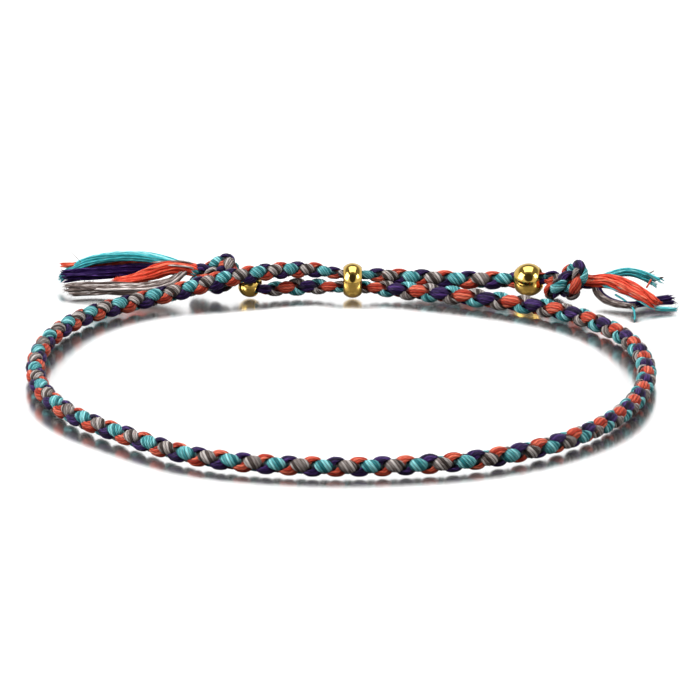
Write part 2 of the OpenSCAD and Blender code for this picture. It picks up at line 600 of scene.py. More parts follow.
@dataclass(frozen=True)
class ThreadUse:
    """How the thread is worked.

    ply_length is one turn of its plies in millimetres and ply_strength how far they show, in the
    bump and as painted light and shade, bundle counts the threads that have tones of their own,
    gap_shading says how dark the painted shade between two threads is, and lightness multiplies
    the colours.
    """

    word: str
    ply_length: float
    ply_strength: float
    bundle: float
    gap_shading: float
    lightness: float


BRAIDED = ThreadUse("braided", 0.5, 0.1, 9.0, 0.7, 1.0)
LOOSE = ThreadUse("loose", 1.6, 0.05, 1000.0, 0.1, 1.35)


@dataclass(frozen=True)
class ThreadFinish:
    """Silky thread: colours in deep shade, in the body and on its lights."""

    hue: Hue
    deep: Colour
    body: Colour
    light: Colour
    uneven: float = 0.5
    roughness: float = 0.4
    # How readily its shade and body grow lighter where the thread is loose
    loosening: float = 1.0
    plies: float = 2.0
    # Tones at which the shade ends, the body is itself and the light begins
    stops: tuple[float, float, float] = (0.12, 0.52, 0.85)
    # Distances from the braid's middle over which the painted shade of the braid's crevices fades out, and
    # how dark it is at its deepest
    crevice_shade: Span = (0.66, 1.06)
    crevice_shade_depth: float = 0.97
    # Share of the deep shade's colour that is painted as shade down between the threads and in the braid's
    # crevices
    painted_shade_tone: float = 0.15
    specular: float = 0.1
    bump_strength: float = 0.5
    bump_height: float = 0.05

    def tones(self, s: Sketch, tone: Socket, lightness: float) -> Socket:
        """The thread's colour, from shade to light.

        Args:
            s: the sketch that it is added to.
            tone: from dark at 0 to light at 1.
            lightness: multiplies the colours.

        Returns:
            The colour's socket.
        """
        gain = lightness**self.loosening
        deep, body = (tuple(c * gain for c in colour) for colour in (self.deep, self.body))
        light = tuple(min(c * lightness, 1.0) for c in self.light)
        ramp = s.add("ShaderNodeValToRGB", {0: tone})
        marks = ramp.color_ramp.elements
        marks[0].position, marks[0].color = self.stops[0], (*deep, 1)
        marks[1].position, marks[1].color = self.stops[2], (*light, 1)
        marks.new(self.stops[1]).color = (*body, 1)
        return ramp.outputs[0]

    def material(self, use: ThreadUse, grain: bpy.types.NodeTree) -> Material:
        """The finish as a material.

        Args:
            use: how the thread is worked.
            grain: the thread grain group.

        Returns:
            The material.
        """
        made, s = Sketch.material(f"{self.hue.word}_thread_{use.word}")
        values = {
            "Threads": s.add("ShaderNodeUVMap", uv_map="threads").outputs[0],
            "Ply Length": use.ply_length,
            "Plies": self.plies,
            "Ply Strength": use.ply_strength,
            "Unevenness": self.uneven,
            "Bundle": use.bundle,
        }
        drawn = s.add("ShaderNodeGroup", values, node_tree=grain).outputs
        # Painted shade: darker deep in the braid, where the strands pass under one another, and down between
        # two threads
        rise = s.add("ShaderNodeAttribute", attribute_type="GEOMETRY", attribute_name="rise")
        crevice_shade = s.ranged(rise.outputs["Fac"], self.crevice_shade, (self.crevice_shade_depth, 0.0))
        painted_shade = s.maths("MAXIMUM", s.times(drawn["Gap Shade"], use.gap_shading), crevice_shade, clamp=True)
        painted_shade_colour = tuple(self.painted_shade_tone * c for c in self.deep)
        values = {
            "Base Color": s.blend(painted_shade, self.tones(s, drawn["Tone"], use.lightness), painted_shade_colour),
            "Roughness": self.roughness,
            "Specular IOR Level": self.specular,
            "Normal": s.bump(drawn["Height"], self.bump_strength, self.bump_height),
        }
        s.surface(s.add("ShaderNodeBsdfPrincipled", values))
        return made


@dataclass(frozen=True)
class GoldFinish:
    """Polished yellow gold plate."""

    base: Colour = (0.64, 0.43, 0.1)
    worn: Colour = (0.55, 0.36, 0.09)
    # Roughness of polished and of rubbed places, and the marks between which it changes
    roughness: Span = (0.07, 0.15)
    rubbed: Span = (0.35, 0.7)
    bump_strength: float = 0.12
    bump_height: float = 0.02

    def material(self, wear: bpy.types.NodeTree) -> Material:
        """The finish as a material.

        Args:
            wear: the fine wear group.

        Returns:
            The material.
        """
        made, s = Sketch.material("polished_gold_bead")
        place = s.add("ShaderNodeTexCoord").outputs["Object"]
        drawn = s.add("ShaderNodeGroup", {"Place": place, "Scale": 1.0}, node_tree=wear).outputs
        values = {
            "Base Color": s.blend(drawn["Marks"], self.base, self.worn),
            "Metallic": 1.0,
            "Roughness": s.ranged(drawn["Marks"], self.rubbed, self.roughness, ease=False),
            "Normal": s.bump(drawn["Height"], self.bump_strength, self.bump_height),
        }
        s.surface(s.add("ShaderNodeBsdfPrincipled", values))
        return made


THREAD_FINISHES = (
    ThreadFinish(
        Hue.TURQUOISE, (0.004, 0.045, 0.06), (0.034, 0.28, 0.305), (0.45, 0.96, 0.98), loosening=2
    ),
    ThreadFinish(
        Hue.ORANGE, (0.13, 0.006, 0.004), (0.58, 0.052, 0.025), (0.98, 0.3, 0.18), uneven=0.4
    ),
    ThreadFinish(
        Hue.PURPLE, (0.0015, 0.0008, 0.005), (0.013, 0.0035, 0.042), (0.12, 0.055, 0.26), uneven=0.4
    ),
    ThreadFinish(
        Hue.TAUPE, (0.016, 0.011, 0.01), (0.12, 0.088, 0.078), (0.7, 0.64, 0.61), uneven=0.6,
        roughness=0.5,
    ),
)


@dataclass
class Palette:
    """Every material, made once."""

    gold: Material
    braid: dict[Hue, Material] = field(default_factory=dict)
    loose: dict[Hue, Material] = field(default_factory=dict)

    @classmethod
    def mixed(cls) -> "Palette":
        """Makes the materials.

        Returns:
            The palette, with one for each finish and use.
        """
        grain, wear = thread_grain_group(), fine_wear_group()
        made = cls(GoldFinish().material(wear))
        for finish in THREAD_FINISHES:
            made.braid[finish.hue] = finish.material(BRAIDED, grain)
            made.loose[finish.hue] = finish.material(LOOSE, grain)
        return made


# Braid


@dataclass(frozen=True)
class StrandPlan:
    """How one strand goes round the braid."""

    hue: Hue
    way: Way
    lead: float


STRANDS = (
    StrandPlan(Hue.TURQUOISE, Way.FORWARD, 0.0),
    StrandPlan(Hue.TAUPE, Way.FORWARD, math.pi),
    StrandPlan(Hue.PURPLE, Way.BACKWARD, 0.0),
    StrandPlan(Hue.ORANGE, Way.BACKWARD, math.pi),
)


@dataclass(frozen=True)
class Unevenness:
    """A seeded waver along a strand: how strong it is, and its wavelength in turns."""

    strength: float
    wavelength: float

    def over(self, turns: Array, seed: int) -> Array:
        """The waver at each turn, about zero."""
        return self.strength * wander(turns, seed, self.wavelength)


@dataclass(frozen=True)
class Fuzz:
    """Fine fibres that stand off a strand, in millimetres."""

    count: int
    seed: int
    # Least and greatest number of the strand's rings that a fibre spans
    reach: tuple[int, int] = (4, 10)
    # Rings left free at the strand's two ends
    margins: tuple[int, int] = (6, 14)
    height: Span = (0.12, 0.4)
    arch: Span = (1.6, 3.0)
    bend: float = 0.12
    radius: float = 0.011
    lowest: float = 0.02
    points: int = 6
    sides: int = 3
    first_number: int = 100

    def on(self, strand: Tube, number: int) -> list[Tube]:
        """The fibres of one strand.

        Args:
            strand: the strand that they stand on.
            number: its number in the braid.

        Returns:
            One tube for each fibre that stays clear of the floor.
        """
        rng = np.random.default_rng(self.seed + number)
        made = []
        rings, sides = strand.rings.shape[:2]
        t = np.linspace(0, 1, self.points)[:, None]
        for k in range(self.count):
            i = rng.integers(self.margins[0], rings - self.margins[1])
            j = rng.integers(0, sides)
            run = int(rng.integers(*self.reach))
            foot, ahead = strand.rings[i, j], strand.rings[i + run, j]
            out = unit(foot - strand.rings[i].mean(0))
            height = rng.uniform(*self.height)
            bend = rng.normal(0, self.bend, 3)
            arch = np.sin(t * rng.uniform(*self.arch))
            line = foot + (ahead - foot) * t + out * height * arch + bend * t * t
            if line[:, 2].min() > self.lowest:
                radius = np.full(self.points, self.radius)
                made.append(round_tube(line, radius, self.sides, self.first_number + k))
        return made


@dataclass(frozen=True)
class FourStrandBraid:
    """A round braid of four flat bundles of thread, in millimetres at full thickness.

    Each strand rides outside at its two crests a turn and dives under the strands of the
    other way between them.
    """

    mid_radius: float = 0.57
    swing: float = 0.26
    half_width: float = 0.73
    width_gain: float = 0.07
    half_depth: float = 0.32
    crest_speed: float = -0.6
    crest_flatness: float = 1.8
    threads: int = 9
    # Length of a strand in which its threads go once round it
    twist_length: float = 6.0
    # Height of a thread's ridge, how much of it lies below the outline, and its least share
    ridge: float = 0.07
    ridge_crevice_shade: float = 0.7
    ridge_least: float = 0.85
    # How full the section's upper and lower sides are, and how far its edges wrap down
    fullness: float = 0.85
    wrap: float = 0.3
    angle_waver: Unevenness = Unevenness(0.05, 1.7)
    radius_waver: Unevenness = Unevenness(0.03, 1.3)
    width_waver: Unevenness = Unevenness(0.06, 1.1)
    depth_waver: Unevenness = Unevenness(0.06, 0.9)
    ridge_waver: Unevenness = Unevenness(0.15, 0.6)
    points_per_thread: int = 4
    rings_per_turn: int = 32

    def section_angles(self, share: Array) -> Array:
        """Angles round the flat section.

        Args:
            share: shares of its outline's length.

        Returns:
            The angle at each share.
        """
        dense = np.linspace(0, FULL_TURN, 2001)
        outline = np.stack([self.half_width * np.cos(dense), self.half_depth * np.sin(dense)], 1)
        run = distances(outline)
        return np.interp(share % 1.0, run / run[-1], dense)

    def strand(self, plan: StrandPlan, path: Path, turns: Array, heading: Array, seed: int) -> Tube:
        """One strand as a ridged ribbon.

        Args:
            plan: which strand.
            path: the braid's centreline, one point for each ring.
            turns: turns of the strands up to each point.
            heading: angle of the first crest column at each point, from up towards the side.
            seed: picks its unevenness.

        Returns:
            The strand's tube.
        """
        phase = FULL_TURN * turns
        sign = plan.way.value
        crest = sign * np.cos(2 * phase)
        angle = heading + plan.lead + sign * phase + 0.5 * self.crest_speed * np.sin(2 * phase)
        angle = angle + self.angle_waver.over(turns, seed)
        lift = np.tanh(self.crest_flatness * crest) / math.tanh(self.crest_flatness)
        radius = (self.mid_radius + self.swing * lift) * (1 + self.radius_waver.over(turns, seed + 1))
        outward = np.cos(angle)[:, None] * path.up + np.sin(angle)[:, None] * path.side
        share = path.share[:, None]
        centre = path.centre + share * radius[:, None] * outward
        across, out = ring_frame(centre, outward)
        run = distances(centre)
        x, y = self.section(crest, turns, run, seed)
        offset = x[..., None] * across[:, None] + y[..., None] * out[:, None]
        rings = centre[:, None] + share[:, :, None] * offset
        rise = np.linalg.norm(rings - path.centre[:, None], axis=2) / share
        return Tube(rings, run, np.linspace(0, self.threads, x.shape[1] + 1) + 0.5, rise)

    def section(self, crest: Array, turns: Array, run: Array, seed: int) -> tuple[Array, Array]:
        """The ribbon's section at each ring, with a ridge for each thread.

        Args:
            crest: how near the ring is to a crest, from -1 to 1.
            turns: turns of the strands up to it.
            run: its distance along the strand.
            seed: picks its unevenness.

        Returns:
            Offsets across and outward, one row for each ring.
        """
        half_width = self.half_width + self.width_gain * crest
        half_width = half_width * (1 + self.width_waver.over(turns, seed + 2))
        half_depth = self.half_depth * (1 + self.depth_waver.over(turns, seed + 3))
        points = self.threads * self.points_per_thread
        place = np.arange(points) / points
        angles = self.section_angles(place[None] + (run / self.twist_length)[:, None])
        cos, sin = np.cos(angles), np.sin(angles)
        ridge = self.ridge * (np.abs(np.cos(math.pi * self.threads * place)) - self.ridge_crevice_shade)
        ridge = ridge[None] * (self.ridge_least + self.ridge_waver.over(turns, seed + 5))[:, None]
        out_x, out_y = cos * self.half_depth, sin * self.half_width
        size = np.hypot(out_x, out_y)
        x = half_width[:, None] * cos + ridge * out_x / size
        y = half_depth[:, None] * np.sign(sin) * np.abs(sin) ** self.fullness + ridge * out_y / size
        return x, y - self.wrap * x**2

    def dress(
        self, name: str, node: str, path: Path, turns: Array, heading: Array, seed: int, fuzz: Fuzz,
        palette: "Palette",
    ) -> None:
        """Lays the four strands along a path, each a piece with its fuzz.

        Args:
            name: the pieces' common name.
            node: the solid that they stand for.
            path: the braid's centreline, one point for each ring.
            turns: turns of the strands up to each point.
            heading: angle of the first crest column at each point.
            seed: picks the unevenness.
            fuzz: the fibres of each strand.
            palette: where the materials come from.
        """
        for k, plan in enumerate(STRANDS):
            strand = self.strand(plan, path, turns, heading, seed + 10 * k)
            mesh = mesh_from(f"{name}_{plan.hue.word}", [strand, *fuzz.on(strand, k)])
            place_piece(mesh, palette.braid[plan.hue], plan.hue.value, node)


BRAID = FourStrandBraid()


@dataclass(frozen=True)
class BraidedCord:
    """The wrist loop with both its tails, one run from the right knot to the left knot."""

    # X, Y, Z and share of the full thickness
    route: tuple[tuple[float, float, float, float], ...] = (
        (22.9, 32.2, 2.35, 0.6), (20.8, 32.7, 2, 0.8), (17.5, 33.3, 1.75, 0.95), (10.5, 33.8, 1.7, 1),
        (5.5, 33.6, 2, 0.95), (2, 32.7, 2.6, 0.72), (-0.5, 32.3, 2.75, 0.54), (-2.4, 32.4, 2.9, 0.62),
        (-5.2, 32.5, 3.3, 0.84), (-8, 31.9, 3.5, 0.9), (-12, 29.9, 3.7, 0.94),(-16.3, 29.2, 3.1, 0.98),
        (-20.5, 28.8, 2, 1), (-25.5, 26.8, 1.35, 1), (-31.8, 21.5, 1.2, 1), (-36, 13.3, 1.2, 1),
        (-37.7, 3, 1.2, 1), (-36.7, -7, 1.2, 1), (-33, -16.2, 1.2, 1), (-26.5, -24, 1.2, 1),
        (-18, -31.6, 1.2, 1), (-7, -34.8, 1.2, 1), (4, -34.8, 1.2, 1), (14, -32.5, 1.2, 1),
        (22.5, -27, 1.2, 1), (29.4, -18.3, 1.2, 1), (33.2, -7.6, 1.2, 1), (33.8, 3.5, 1.2, 1),
        (31.1, 14, 1.2, 1), (24.8, 22.3, 1.2, 1), (16, 27.2, 1.2, 1), (8.8, 29.9, 1.2, 1),
        (4.4, 31.3, 1.2, 0.93), (1.8, 31.7, 1.3, 0.74), (-0.5, 31.7, 1.5, 0.54), (-2.4, 31.9, 1.35, 0.66),
        (-5.5, 32.4, 1.25, 0.9), (-8.6, 32.1, 1.2, 0.9), (-11.4, 31.75, 1.1, 0.65), (-12.9, 32.2, 1.5, 0.6),
        (-14.5, 32.95, 2.1, 0.56),
    )
    # Distance, turns of the strands, and heading of the turquoise column in degrees
    lay: tuple[tuple[float, float, float], ...] = (
        (0, -0.87, -50), (11, 1, -54), (22.2, 3, -64), (27.3, 4, -67), (36, 6, -52), (44.1, 8, -42),
        (54, 10, -31), (63.7, 12, -22), (75.2, 14, 5), (88.3, 16, 8), (101.2, 18, 28), (112.8, 20, 48),
        (123.9, 22, 55), (134.6, 24, 63), (145.2, 26, 75), (156.3, 28, 90), (167.4, 30, 105),
        (176.5, 32, 119), (186.5, 34, 103), (198, 36, 89), (209.1, 38, 66), (220.4, 40, 38),
        (232.9, 42, 30), (244, 44, 25), (259.7, 46.9, 25),
    )
    # Lengths over which the turns and the heading change softly
    turns_window: float = 7.0
    heading_window: float = 9.0
    steps: int = 40
    seed: int = 11
    fuzz: Fuzz = Fuzz(count=260, seed=70)

    def build(self, palette: Palette) -> None:
        """Builds the four strands and dresses them.

        Args:
            palette: where the materials come from.
        """
        path = Path.through(self.route, self.steps, level=True)
        at, turn, head = np.array(self.lay, float).T
        dense = np.linspace(0, path.length, 6000)
        turns = soft_table(dense, at, turn, self.turns_window)
        rings = int((turns[-1] - turns[0]) * BRAID.rings_per_turn)
        where = np.interp(np.linspace(turns[0], turns[-1], rings), turns, dense)
        lay = np.interp(where, dense, turns)
        heading = np.radians(soft_table(where, at, head, self.heading_window))
        BRAID.dress(
            "braid", "braided_cord", path.at(where), lay, heading, self.seed, self.fuzz, palette
        )


@dataclass(frozen=True)
class OverhandKnot:
    """An overhand knot tied in the braid itself.

    name is the solid that it stands for, turn its roll, pitch and yaw in degrees, first_turn
    where its strands begin, and heading the angle of their first crest column.
    """

    name: str
    place: Point
    turn: Point
    first_turn: float
    heading: float
    # What one unit of the half below measures, and the length in which the strands go round once
    unit_length: float = 1.65
    pitch: float = 5.3
    # Share of the full thickness, from the knot's start at -1 to its end at 1
    thickness_at: tuple[float, ...] = (-1, -0.75, 0.7, 1)
    thickness: tuple[float, ...] = (0.6, 0.86, 0.86, 0.74)
    run_in: float = 0.45
    run_out: float = 1.0
    half: tuple[Point, ...] = (
        (0, 0.85, 0), (-0.65, 0.7, 0.75), (-1.15, -0.15, 1), (-1.05, -0.95, 0.45), (-0.45, -1, -0.3),
        (0.25, -0.35, -0.45), (1.05, 0, 0), (1.45, 0, 0),
    )
    steps: int = 24
    seed: int = 211
    fuzz: Fuzz = Fuzz(count=24, seed=270)

    def centreline(self) -> Array:
        """The cord's line through the knot.

        Returns:
            Its points, in the part's frame.
        """
        half = np.array(self.half, float)
        inner = half[:0:-1] * [-1, 1, -1]
        points = np.vstack([inner, half]) * [1, -1, 1] * self.unit_length
        first, last = points[0] - [self.run_in, 0, 0], points[-1] + [self.run_out, 0, 0]
        return np.vstack([first, points, last]) @ rotation(*self.turn).T + self.place

    def build(self, palette: Palette) -> None:
        """Builds the knot's four strands and dresses them.

        Args:
            palette: where the materials come from.
        """
        points = self.centreline()
        t = np.linspace(-1, 1, len(points))
        shares = np.interp(t, self.thickness_at, self.thickness)
        path = Path.through(np.hstack([points, shares[:, None]]), self.steps, level=False)
        rings = int(path.length / self.pitch * BRAID.rings_per_turn)
        where = np.linspace(0, path.length, rings)
        turns = self.first_turn + where / self.pitch
        heading = np.full(rings, math.radians(self.heading))
        BRAID.dress(
            self.name, self.name, path.at(where), turns, heading, self.seed, self.fuzz, palette
        )


# Tassels


@dataclass(frozen=True)
class Lock:
    """A loose bundle of threads: thickness at root, middle and tip, and its line.

    fan spreads its threads towards the tip, wave is how far they wander, and uneven_end the
    share of its length by which the shortest falls short.
    """

    hue: Hue
    thickness: Point
    threads: int
    points: tuple[Point, ...]
    fan: float = 0.3
    wave: float = 0.12
    uneven_end: float = 0.12

    def profile(self, t: Array) -> Array:
        """The bundle's radius at shares t of its length."""
        root, middle, tip = self.thickness
        near, far = root + (middle - root) * 2 * t, middle + (tip - middle) * (2 * t - 1)
        return np.where(t < 0.5, near, far) / 2


@dataclass(frozen=True)
class Stray:
    """A thread or fibre that lies apart."""

    hue: Hue
    width: float
    points: tuple[Point, ...]


def with_share(points: Sequence[Point]) -> Array:
    """Points as rows of a path at full thickness."""
    return np.hstack([np.array(points, float), np.ones((len(points), 1))])


@dataclass(frozen=True)
class Tassel:
    """The cord's own threads, let loose behind a knot, in millimetres.

    throat is the point inside the knot where they come loose.
    """

    node: str
    seed: int
    throat: Point
    locks: tuple[Lock, ...]
    strays: tuple[Stray, ...]
    thread_width: float = 0.29
    # Least and greatest share of that width, and of the bundle's fan
    widths: Span = (0.85, 1.12)
    fans: Span = (0.3, 1.6)
    # How far a thread turns round its bundle, and how unevenly
    twist: float = 0.9
    twist_waver: float = 0.3
    rings: int = 40
    sides: int = 6
    floor_gap: float = 0.02
    hairs: int = 3
    hair_lengths: Span = (0.25, 0.7)
    hair_lean: float = 0.45
    hair_bend: float = 0.08
    hair_points: int = 5

    def thread(self, lock: Lock, spine: Path, k: int, seed: int) -> list[Tube]:
        """One thread of a bundle with its frayed tip.

        Args:
            lock: the bundle.
            spine: the bundle's own line.
            k: the thread's number in it.
            seed: picks its unevenness.

        Returns:
            The thread and the fibres at its tip.
        """
        rng = np.random.default_rng(seed + 31 * k)
        t = np.linspace(0, 1.0 - lock.uneven_end * rng.random() ** 1.5, self.rings)
        along = spine.at(t * spine.length)
        width = self.thread_width * rng.uniform(*self.widths)
        rho = math.sqrt((k + 0.5) / lock.threads)
        angle = GOLDEN_ANGLE * k + self.twist * t + self.twist_waver * wander(t, seed + k, 1.1)
        room = np.maximum(lock.profile(t) - width / 2, 0.05)
        spread = rho * room * (1 + lock.fan * t**3 * rng.uniform(*self.fans))
        aside = np.cos(angle)[:, None] * along.up + np.sin(angle)[:, None] * along.side
        line = along.centre + spread[:, None] * aside
        ease = t**0.8 * lock.wave
        for axis, salt in enumerate((300, 500, 700)):
            line[:, axis] += ease * wander(t, seed + salt + k, 1.0)
        radius = np.full(self.rings, width / 2) * (1 + 0.06 * wander(t, seed + 900 + k, 0.2))
        radius[0] *= 0.6
        radius[-2:] *= (0.92, 0.5)
        line[:, 2] = np.maximum(line[:, 2], radius + self.floor_gap)
        return [round_tube(line, radius, self.sides, k + 1), *self.frayed(line, k, rng)]

    def frayed(self, line: Array, k: int, rng: np.random.Generator) -> list[Tube]:
        """The fibres at the tip of a thread.

        Args:
            line: the thread's line.
            k: its number.
            rng: the thread's own random draws.

        Returns:
            One tube for each fibre.
        """
        tip = line[-1]
        ahead = unit(tip - line[-3])
        steps = np.linspace(0, 1, self.hair_points)[:, None]
        radius = np.linspace(0.03, 0.012, self.hair_points)
        made = []
        for f in range(self.hairs):
            turn = unit(ahead + rng.normal(0, self.hair_lean, 3))
            reach = turn * steps * rng.uniform(*self.hair_lengths)
            hair = tip - 0.15 * ahead + reach + rng.normal(0, self.hair_bend, 3) * steps**2
            hair[:, 2] = np.maximum(hair[:, 2], 0.03)
            made.append(round_tube(hair, radius, 3, 60 + k + f))
        return made

    def stray_tube(self, stray: Stray, k: int) -> Tube:
        """A stray thread as a tapering tube.

        Args:
            stray: the thread.
            k: its number.

        Returns:
            The tube.
        """
        line = smooth_curve(with_share(stray.points), 8)[:, :3]
        radius = np.full(len(line), stray.width / 2)
        radius[-3:] *= (0.9, 0.7, 0.4)
        return round_tube(line, radius, 5, 140 + k)

    def build(self, palette: Palette) -> None:
        """Builds the tassel, one piece for each colour.

        Args:
            palette: where the materials come from.
        """
        for hue in Hue:
            tubes: list[Tube] = []
            for n, lock in enumerate(self.locks):
                if lock.hue is hue:
                    spine = Path.through(with_share((self.throat, *lock.points)), 16, level=False)
                    seed = 1000 * (n + 1) + self.seed
                    for k in range(lock.threads):
                        tubes += self.thread(lock, spine, k, seed)
            strays = enumerate(self.strays)
            tubes += [self.stray_tube(stray, k) for k, stray in strays if stray.hue is hue]
            mesh = mesh_from(f"{self.node}_{hue.word}", tubes)
            place_piece(mesh, palette.loose[hue], hue.value, self.node)


RIGHT_TASSEL = Tassel(
    "right_tassel",
    seed=0,
    throat=(27.5, 30.75, 2.42),
    locks=(
        Lock(Hue.ORANGE, (1.8, 2.1, 1.5), 34,
             ((28.5, 30.4, 2.45), (30.2, 30, 2.7), (32.4, 28.6, 2.4), (34.6, 27, 1.75),
              (36.1, 25.9, 1)), 0.1, 0.08),
        Lock(Hue.TURQUOISE, (1, 1.1, 1.4), 14,
             ((28.5, 30.4, 2.45), (30.4, 32.1, 2.6), (33.1, 33.6, 2.7), (35.3, 33.8, 1.9),
              (37, 33.4, 0.9)), 0.4, 0.07, 0.22),
        Lock(Hue.PURPLE, (1, 0.85, 1.2), 16,
             ((28.5, 30.4, 2.4), (29.6, 29.4, 1.1), (31.6, 27.9, 0.52), (33.4, 27.5, 0.5),
              (35.4, 28.5, 0.55), (38.3, 29.2, 0.65)), 0.35, 0.06, 0.06),
        Lock(Hue.TAUPE, (1, 1, 0.8), 14,
             ((28.5, 30.4, 2.4), (29, 29.6, 1.3), (30.4, 28.3, 0.6), (32, 27.2, 0.55),
              (33.6, 26.4, 0.45)), 0.3, 0.12),
        Lock(Hue.TURQUOISE, (0.9, 0.9, 0.6), 9,
             ((28.5, 30.4, 2.4), (30.7, 29.4, 2.2), (33.4, 27.5, 1.6), (36, 26.1, 0.55),
              (38.6, 26, 0.4)), 0.1, 0.06),
    ),
    strays=(
        Stray(Hue.TURQUOISE, 0.26,
              ((31.2, 29.2, 1.2), (32.2, 28.1, 0.9), (33.2, 26.4, 0.45), (33.4, 24.4, 0.2),
               (33.3, 22.4, 0.16))),
        Stray(Hue.ORANGE, 0.26, ((35.1, 32.9, 0.9), (35.4, 33, 1.4), (35.7, 33.1, 1.95))),
        Stray(Hue.TAUPE, 0.24, ((34.6, 33.7, 1.9), (35.4, 33.9, 2.4), (36.1, 34, 2.75))),
        Stray(Hue.TAUPE, 0.24, ((36, 33.8, 1.4), (36.7, 33.9, 1.8), (37.2, 33.9, 1.9))),
        Stray(Hue.TURQUOISE, 0.22, ((35.2, 33.8, 1.9), (36.4, 33.9, 1.9), (37.3, 33.8, 1.5))),
    ),
)

LEFT_TASSEL = Tassel(
    "left_tassel",
    seed=7,
    throat=(-19.3, 33.3, 2.95),
    locks=(
        Lock(Hue.TURQUOISE, (1.1, 1.5, 1.1), 26,
             ((-20.25, 33.3, 3.2), (-22.6, 34, 3.85), (-26, 34.9, 4.25), (-30, 35.2, 4.1),
              (-32.9, 35.7, 3.3), (-34.8, 36, 2.1), (-36.1, 36, 0.9)), 0.15, 0.08),
        Lock(Hue.ORANGE, (1.7, 2, 0.9), 34,
             ((-20.25, 33.3, 3.2), (-21.8, 33.1, 3.5), (-24.5, 33.1, 2.85), (-27.2, 33.2, 1.9),
              (-29.5, 33.4, 1.6)), 0.1, 0.1),
        Lock(Hue.PURPLE, (1.1, 1.7, 1.5), 36,
             ((-20.25, 33.3, 3.2), (-22.2, 34.4, 2.7), (-24.5, 35.2, 2.5), (-28.5, 35.2, 2.3),
              (-32.5, 35, 2), (-35.8, 34.9, 1.75)), 0.2, 0.16, 0.12),
        Lock(Hue.TAUPE, (1.1, 1.7, 1.3), 38,
             ((-20.25, 33.3, 3.1), (-22.5, 32.3, 1.8), (-25.5, 32.2, 1.1), (-29.5, 32.3, 1),
              (-33, 32.3, 0.9), (-35.4, 32.2, 0.8)), 0.35, 0.24, 0.3),
        Lock(Hue.ORANGE, (0.8, 0.8, 0.9), 11,
             ((-20.25, 33.3, 3.2), (-22.6, 35, 3.2), (-25.5, 36.1, 3.3), (-29, 36.2, 3.05),
              (-33, 36, 2.85), (-36, 35.9, 2.8)), 0.3, 0.1),
    ),
    strays=(
        Stray(Hue.TAUPE, 0.07, ((-33.2, 35.4, 3.1), (-34, 35.3, 4), (-34.9, 35, 5))),
        Stray(Hue.TAUPE, 0.28,
              ((-19.4, 33.4, 3.3), (-20.2, 33.1, 4), (-21.8, 33, 4.25), (-23.4, 33.2, 4.1),
               (-24.8, 33.6, 3.9))),
        Stray(Hue.TAUPE, 0.26,
              ((-19.3, 33, 3.1), (-20.1, 32.5, 3.6), (-21.4, 32.2, 3.9), (-22.8, 32.3, 3.95))),
        Stray(Hue.PURPLE, 0.08,
              ((-31.9, 34.5, 1.5), (-32.1, 34.3, 1.1), (-32.5, 34.2, 1), (-32.5, 34.3, 1.3),
               (-32.2, 34.3, 1.3))),
        Stray(Hue.PURPLE, 0.08, ((-32.9, 34.6, 1.5), (-33.1, 34.4, 1.2), (-33.4, 34.3, 1.2))),
    ),
)


# Beads


@dataclass(frozen=True)
class Bead:
    """A turned metal bead with a bore along its own X axis, in millimetres."""

    name: str
    node: str
    place: Point
    pitch: float = 0.0
    yaw: float = 0.0
    segments: int = 96

    def profile(self) -> Array:
        """Points of X and radius once round the section, starting in the bore."""
        raise NotImplementedError

    def build(self, palette: Palette) -> None:
        """Turns the profile about the bore and dresses it.

        Args:
            palette: where the materials come from.
        """
        x, r = self.profile().T[..., None]
        angle = np.linspace(0, FULL_TURN, self.segments, endpoint=False)
        rings = np.stack(np.broadcast_arrays(x, r * np.cos(angle), r * np.sin(angle)), -1)
        points = rings @ rotation(0, self.pitch, self.yaw).T + self.place
        # The other way round than a tube, because the profile starts in the bore
        quads = ring_quads(len(x), self.segments, closed=True)[:, [0, 3, 2, 1]]
        mesh = bpy.data.meshes.new(self.name)
        mesh.from_pydata(points.reshape(-1, 3) * MM, [], quads.tolist())
        mesh.shade_smooth()
        place_piece(mesh, palette.gold, "polished_gold", self.node)


@dataclass(frozen=True)
class SlidingBead(Bead):
    """The domed ring that both tails run through."""

    diameter: float = 4.25
    length: float = 2.25
    bore: float = 3.1
    rim: float = 0.05

    def profile(self) -> Array:
        """The section: straight bore, small rounded rims and a domed side.

        Returns:
            Its points, as rows of X and radius.
        """
        half, bore_r, rim = self.length / 2, self.bore / 2, self.rim
        rise = self.diameter / 2 - bore_r - rim
        dome_r = (half * half + rise * rise) / (2 * rise)
        reach = math.asin(0.97 * half / dome_r)
        dome = [
            (dome_r * math.sin(a), self.diameter / 2 - dome_r + dome_r * math.cos(a))
            for a in np.linspace(-reach, reach, 29)
        ]
        bore = [(x, bore_r) for x in np.linspace(half - 1.2 * rim, -half + 1.2 * rim, 5)]
        corner = [(-half + 0.4 * rim, bore_r + 0.15 * rim), (-half, bore_r + 0.7 * rim)]
        far = [(-x, r) for x, r in corner[::-1]]
        return np.array(bore + corner + dome + far)


@dataclass(frozen=True)
class RoundBead(Bead):
    """A round stopper bead."""

    diameter: float = 4.0
    bore: float = 2.3
    rim: float = 0.09

    def profile(self) -> Array:
        """The section: straight bore and a ball outside, with eased rims.

        Returns:
            Its points, as rows of X and radius.
        """
        radius, bore_r = self.diameter / 2, self.bore / 2
        meet = math.asin((bore_r + self.rim) / radius)
        ball = [(-radius * math.cos(a), radius * math.sin(a)) for a in np.linspace(meet, math.pi - meet, 49)]
        end = ball[0][0]
        bore = [(x, bore_r) for x in np.linspace(-end - self.rim, end + self.rim, 5)]
        near = [(end + 0.02, bore_r + 0.25 * self.rim)]
        far = [(-end - 0.02, bore_r + 0.25 * self.rim)]
        return np.array(bore + near + ball + far)


# Studio


